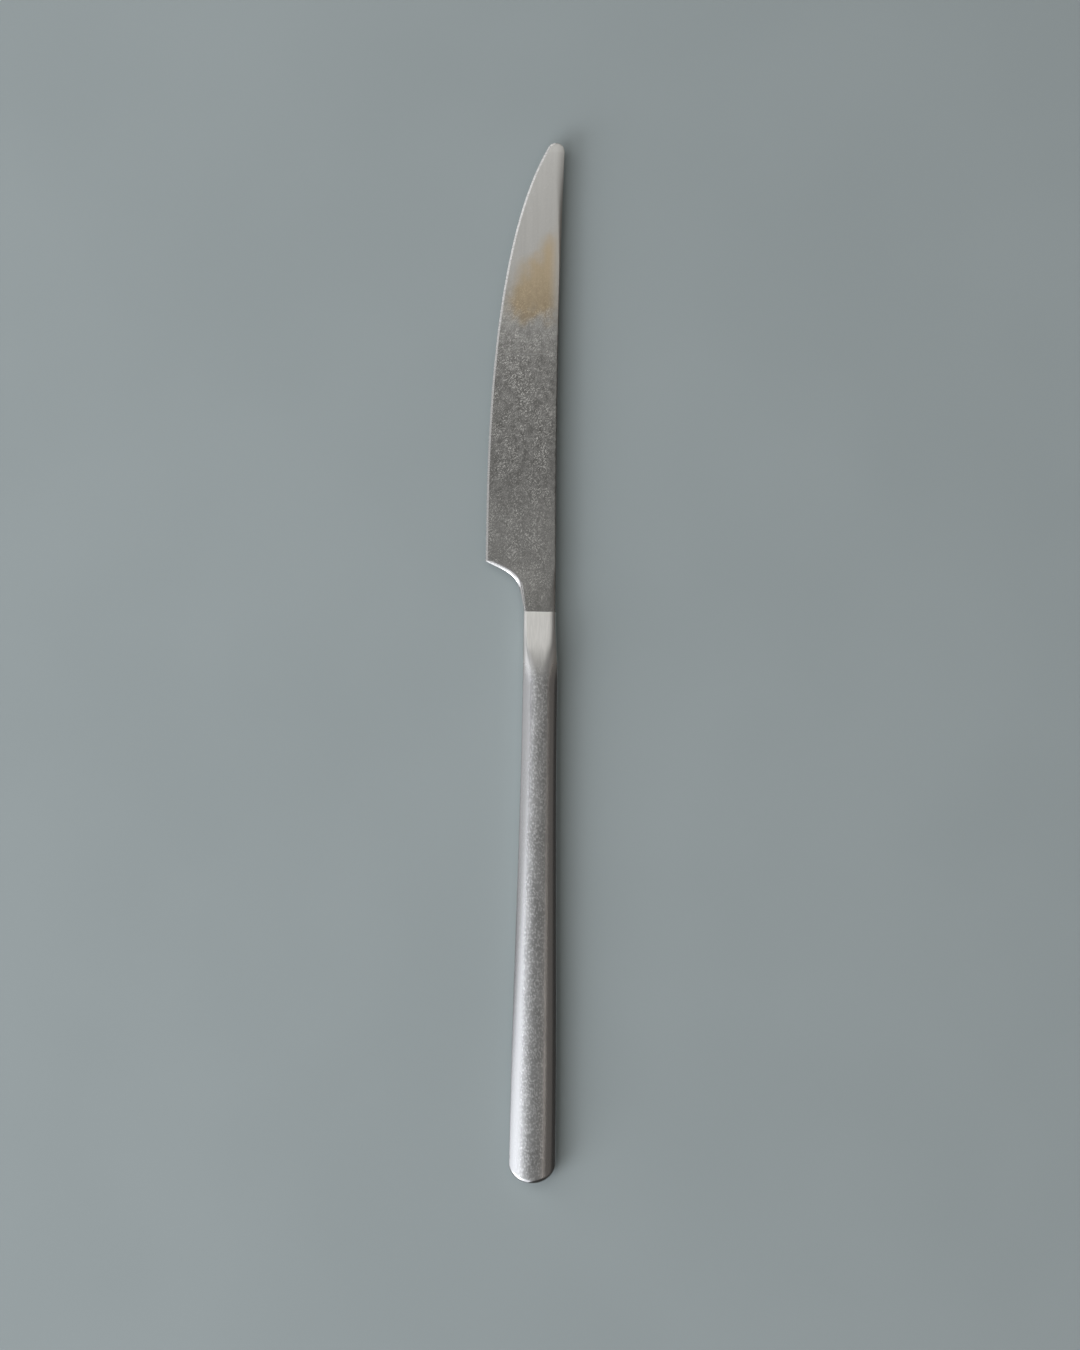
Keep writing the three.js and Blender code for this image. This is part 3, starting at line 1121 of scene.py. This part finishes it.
    def _edge_rows(self) -> list[Row]:
        """Rows along the straight edge, its sweep and the round tip.

        Returns:
            The rows from just past the heel to the end of the knife.
        """
        heel_end = self.heel_y + self.choil_crown.width
        start = Vector((-self.edge_reach, self.heel_y + self.straight))
        angle = math.radians(self.tip_angle)
        end = self.tip_point(angle)
        bend = Vector((-self.edge_reach, end.y - (end.x + self.edge_reach) / math.tan(angle)))
        places = spread(self.heel_y, heel_end, HEEL_STEPS)[1:-1] + spread(heel_end, start.y, EDGE_STEPS)[:-1]
        rows = [Row(y, -self.edge_reach, 1.0, self.bevel) for y in places]
        for share in spread(0.0, 1.0, SWEEP_STEPS):
            point = (1 - share) ** 2 * start + 2 * share * (1 - share) * bend + share**2 * end
            direction = ((1 - share) * (bend - start) + share * (end - bend)).normalized()
            rows.append(Row(point.y, point.x, direction.y, self.bevel))
        for turn in spread(angle, math.acos(self.tip_flat / 2 / self.tip_radius), TIP_STEPS)[1:]:
            point = self.tip_point(turn)
            rows.append(Row(point.y, point.x, math.cos(turn), self.bevel))
        return rows

    def _blade_section(self, row: Row) -> Section:
        """Section of the blade, a wedge from spine to edge that goes over to the flat neck below the heel.

        Args:
            row: Row of the blade.

        Returns:
            The section there.
        """
        right = self._spine(row.y)
        width = right - row.left
        along = (row.y - self.crease_y) / (self.tip_y - self.crease_y)
        spine_half = lerp(self.neck_thickness, self.tip_thickness, along) / 2
        thinned = smoothstep(self.crease_y, self.heel_y, row.y)
        sweep_end = self.tip_point(math.radians(self.tip_angle)).x
        edge = min(row.left, sweep_end) if row.y > self.heel_y else -self.edge_reach
        spine = self._spine(min(row.y, self.tip_centre.y))
        spine_crown = self._spine_crown(row.y)
        ground = smoothstep(self.grind_from, self.grind_full, row.squareness)
        depth = 0.0 if row.y <= self.heel_y else ground

        def half(x: float) -> float:
            """Half thickness at x."""
            wedge = lerp(self.edge_thickness / 2, spine_half, (x - edge) / (spine - edge))
            face = lerp(spine_half, wedge, thinned)
            most = self.crown_most * face
            crown = self._choil_drop(x, row.y, most)
            crown = max(crown, spine_crown.shallow_drop(self._from_spine(x, row.y), most))
            bevel = 1 - min(1.0, (x - row.left) * row.squareness / self.bevel)
            return face - max(crown, depth * bevel * (face - self.land / 2))

        left_band = min(row.side / row.squareness, self.band_most * width)
        right_band = min(spine_crown.width, self.band_most * width)
        return Section(row.left, left_band, right, right_band, half)

    def _spine(self, y: float) -> float:
        """Side of the spine, which the round tip closes over.

        Args:
            y: Place along the knife.

        Returns:
            The place of the spine there.
        """
        centre = self.tip_centre
        along = (y - self.crease_y) / (centre.y - self.crease_y)
        if along <= 1:
            return lerp(self.spine_neck, self.spine_tip, along) - 4 * self.spine_sag * along * (1 - along)
        above = min(y - centre.y, self.tip_radius)
        return centre.x + max(math.sqrt(self.tip_radius**2 - above**2), self.tip_flat / 2)

    def _spine_crown(self, y: float) -> Crown:
        """Rounding of the spine, which starts as wide as that of the ramp and is wide again at the tip.

        Args:
            y: Place along the knife.

        Returns:
            The rounding there.
        """
        neck = smoothstep(self.crease_y + self.crown_fade, self.crease_y, y)
        tip = smoothstep(self.tip_y - self.tip_fade, self.tip_y, y)
        return self.spine_crown.towards(self.ramp_crown, neck).towards(self.tip_crown, tip)

    def _from_spine(self, x: float, y: float) -> float:
        """Distance of a place from the spine or the round of the tip.

        Args:
            x: Place across the knife.
            y: Place along the knife.

        Returns:
            The distance.
        """
        centre = self.tip_centre
        if y <= centre.y:
            return self._spine(y) - x
        return self.tip_radius - math.hypot(max(0.0, x - centre.x), y - centre.y)

    def _choil_drop(self, x: float, y: float, most: float) -> float:
        """How far the rounding along the choil lowers the face.

        Args:
            x: Place across the knife.
            y: Place along the knife.
            most: The most that it may drop at the side.

        Returns:
            The drop there.
        """
        if y > self.heel_y + self.choil_crown.width:
            return 0.0
        place = Vector((x, y))
        drop = 0.0
        for number, (start, end) in enumerate(zip(self.choil_points, self.choil_points[1:])):
            foot, share = intersect_point_line(place, start, end)
            foot = start if share < 0 else end if share > 1 else foot.to_2d()
            size = self._choil_size(number)
            inset = (place - foot).length / size
            drop = max(drop, size * self.choil_crown.shallow_drop(inset, most / size))
        return drop


@dataclass
class Blade:
    """The forging: blade, ramp and tang in one piece of steel."""

    form: BladeForm
    piece: Object | None = None

    def build(self) -> None:
        """Draws the skin from the end of the tang to the tip and sorts its faces by finish."""
        loft = Loft(self.form.grip.middle)
        for number, (y, section) in enumerate(self.form.tang_sections()):
            loft.draw(y, section)
            if number == 0:
                loft.close()
        for y, section in self.form.ramp_sections():
            loft.draw(y, section)
        for edge in loft.rim:
            edge.smooth = False
        for y, section in self.form.blade_sections():
            loft.draw(y, section)
        loft.close()
        for face in loft.mesh.faces:
            face.material_index = self._coat(loft, face)
        self.piece = as_piece(loft.mesh, "blade_forging", "blade", "blade_steel")

    def dress(self) -> None:
        """Gives the blade, the ramp, the bevel and the choil their finishes, in the order of their coats."""
        for finish in (BLADE_FINISH, RAMP_FINISH, EDGE_FINISH, CHOIL_FINISH):
            self.piece.data.materials.append(finish.material())

    def _coat(self, loft: Loft, face: BMFace) -> Coat:
        """Finish that a face takes.

        Args:
            loft: Skin of the blade.
            face: One of its faces.

        Returns:
            The place of the finish.
        """
        y = AXES.along(face.calc_center_median())
        if self.form.grip.joint_y < y < self.form.crease_y:
            return Coat.RAMP
        if y > self.form.crease_y and loft.on_left_corner(face):
            return Coat.EDGE if y > self.form.heel_y else Coat.CHOIL
        return Coat.BLADE


@dataclass
class Filling:
    """The cement inside the handle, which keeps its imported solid."""

    node: str = "tang_cement"

    @property
    def piece(self) -> Object:
        """The solid."""
        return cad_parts[self.node]

    def dress(self) -> None:
        """Gives the solid its cement."""
        self.piece.data.materials.clear()
        self.piece.data.materials.append(CEMENT_FINISH.material())


# Studio


@dataclass(frozen=True)
class Panel:
    """A soft light panel that faces the knife."""

    name: str
    radiance: float  # how bright its face is, where 1 shows as white
    colour: str
    zenith: float  # angle of its middle from straight above, in degrees
    bearing: float  # direction of its middle, in degrees from the tip towards the spine's side
    across: float  # angle that it spans sideways, in degrees
    upright: float  # angle that it spans up and down, in degrees
    distance: float  # from the knife, in metres

    def hang(self, target: Vector) -> None:
        """Puts the panel up.

        Args:
            target: What it faces.
        """
        light = bpy.data.lights.new(self.name, "AREA")
        light.shape = "RECTANGLE"
        light.size = 2 * self.distance * math.tan(math.radians(self.across / 2))
        light.size_y = 2 * self.distance * math.tan(math.radians(self.upright / 2))
        light.energy = self.radiance * math.pi * light.size * light.size_y
        light.color = linear(self.colour)[:3]
        tilt = math.radians(self.zenith)
        turn = math.radians(self.bearing)
        away = Vector((math.sin(tilt) * math.sin(turn), math.sin(tilt) * math.cos(turn), math.cos(tilt)))
        lamp = bpy.data.objects.new(self.name, light)
        lamp.location = target + self.distance * away
        lamp.rotation_euler = (-tilt, 0.0, -turn)
        lamp.visible_camera = False
        bpy.context.scene.collection.objects.link(lamp)


@dataclass(frozen=True)
class Studio:
    """A pale board under soft panels, with the camera straight above the knife."""

    middle: float  # height of the middle of the knife above the board
    board_size: float = 6.0  # half the side of the board, in metres
    board_gap: float = 0.02  # how far the board lies under the knife
    view_x: float = -0.07  # place on the knife that the camera is over, across it
    view_y: float = 114.7  # and along it
    height: float = 721.0  # of the camera above the middle of the knife
    lens: float = 85.0
    lean: float = 0.957  # angle that the camera is turned round its view, in degrees
    room: str = "#fffaf3"  # dim room round the panels
    room_strength: float = 0.042
    panels: tuple[Panel, ...] = (
        Panel("overhead", 0.22, "#ffffff", zenith=-10, bearing=0, across=70, upright=36, distance=1.6),
        Panel("far_window", 0.95, "#fefdfa", zenith=24, bearing=0, across=34, upright=24, distance=1.8),
        Panel("front_window", 1.4, "#fbfcff", zenith=62, bearing=-57, across=24, upright=46, distance=1.2),
        Panel("front_ceiling", 0.8, "#fbfcff", zenith=28, bearing=-42, across=32, upright=24, distance=1.0),
        Panel("left_window", 0.62, "#fbfcff", zenith=64, bearing=-84, across=24, upright=45, distance=1.2),
        Panel("left_ceiling", 0.1, "#fbfcff", zenith=28, bearing=-94, across=14, upright=20, distance=1.2),
        Panel("side_window", 1.5, "#f6f9ff", zenith=62, bearing=-109, across=18, upright=48, distance=1.3),
        Panel("low_window", 6.5, "#f6f9ff", zenith=70, bearing=-128, across=30, upright=24, distance=1.8),
        Panel("back_window", 1.4, "#f6f9ff", zenith=62, bearing=-153, across=34, upright=44, distance=2.0),
        Panel("back_ceiling", 0.8, "#f6f9ff", zenith=34, bearing=-133, across=34, upright=20, distance=2.0),
        Panel("right_wall", 0.1, "#fff4ec", zenith=50, bearing=90, across=60, upright=34, distance=1.5),
        Panel("right_strip", 0.85, "#fff4ec", zenith=38, bearing=112, across=18, upright=5, distance=1.5),
    )

    def build(self) -> None:
        """Lays the board, hangs the panels and sets up the camera."""
        self._lay_board()
        self._light_room()
        target = AXES.point(self.view_x, self.view_y, self.middle)
        for panel in self.panels:
            panel.hang(target)
        self._set_camera(target)
        bpy.context.scene.view_settings.view_transform = "Standard"

    def _lay_board(self) -> None:
        """Lays the board under the knife."""
        mesh = bmesh.new()
        bmesh.ops.create_grid(mesh, x_segments=1, y_segments=1, size=self.board_size)
        bmesh.ops.translate(mesh, verts=mesh.verts[:], vec=Vector((0.0, 0.0, -self.board_gap * MM)))
        data = bpy.data.meshes.new("board")
        mesh.to_mesh(data)
        mesh.free()
        data.materials.append(BOARD_FINISH.material())
        board = bpy.data.objects.new("board", data)
        bpy.context.scene.collection.objects.link(board)

    def _light_room(self) -> None:
        """Gives the room round the panels its dim light."""
        world = bpy.data.worlds.new("room")
        world.use_nodes = True
        background = world.node_tree.nodes["Background"]
        background.inputs["Color"].default_value = linear(self.room)
        background.inputs["Strength"].default_value = self.room_strength
        bpy.context.scene.world = world

    def _set_camera(self, target: Vector) -> None:
        """Sets up the camera straight above the knife.

        Args:
            target: What it looks at.
        """
        data = bpy.data.cameras.new("camera")
        data.lens = self.lens
        camera = bpy.data.objects.new("camera", data)
        camera.location = target + Vector((0.0, 0.0, self.height * MM))
        camera.rotation_euler = (0.0, 0.0, math.radians(self.lean))
        bpy.context.scene.collection.objects.link(camera)
        bpy.context.scene.camera = camera


def main() -> None:
    """Builds the knife and the studio round it."""
    logging.basicConfig(level=logging.INFO, format="%(name)s %(message)s")
    form = HandleForm()
    blade = Blade(BladeForm(form))
    blade.build()
    blade.dress()
    report(blade.piece)
    handle = Handle(form)
    handle.build()
    handle.dress()
    for piece in handle.pieces:
        report(piece)
    filling = Filling()
    filling.dress()
    report(filling.piece)
    Studio(form.middle).build()


if __name__ == "__main__":
    main()
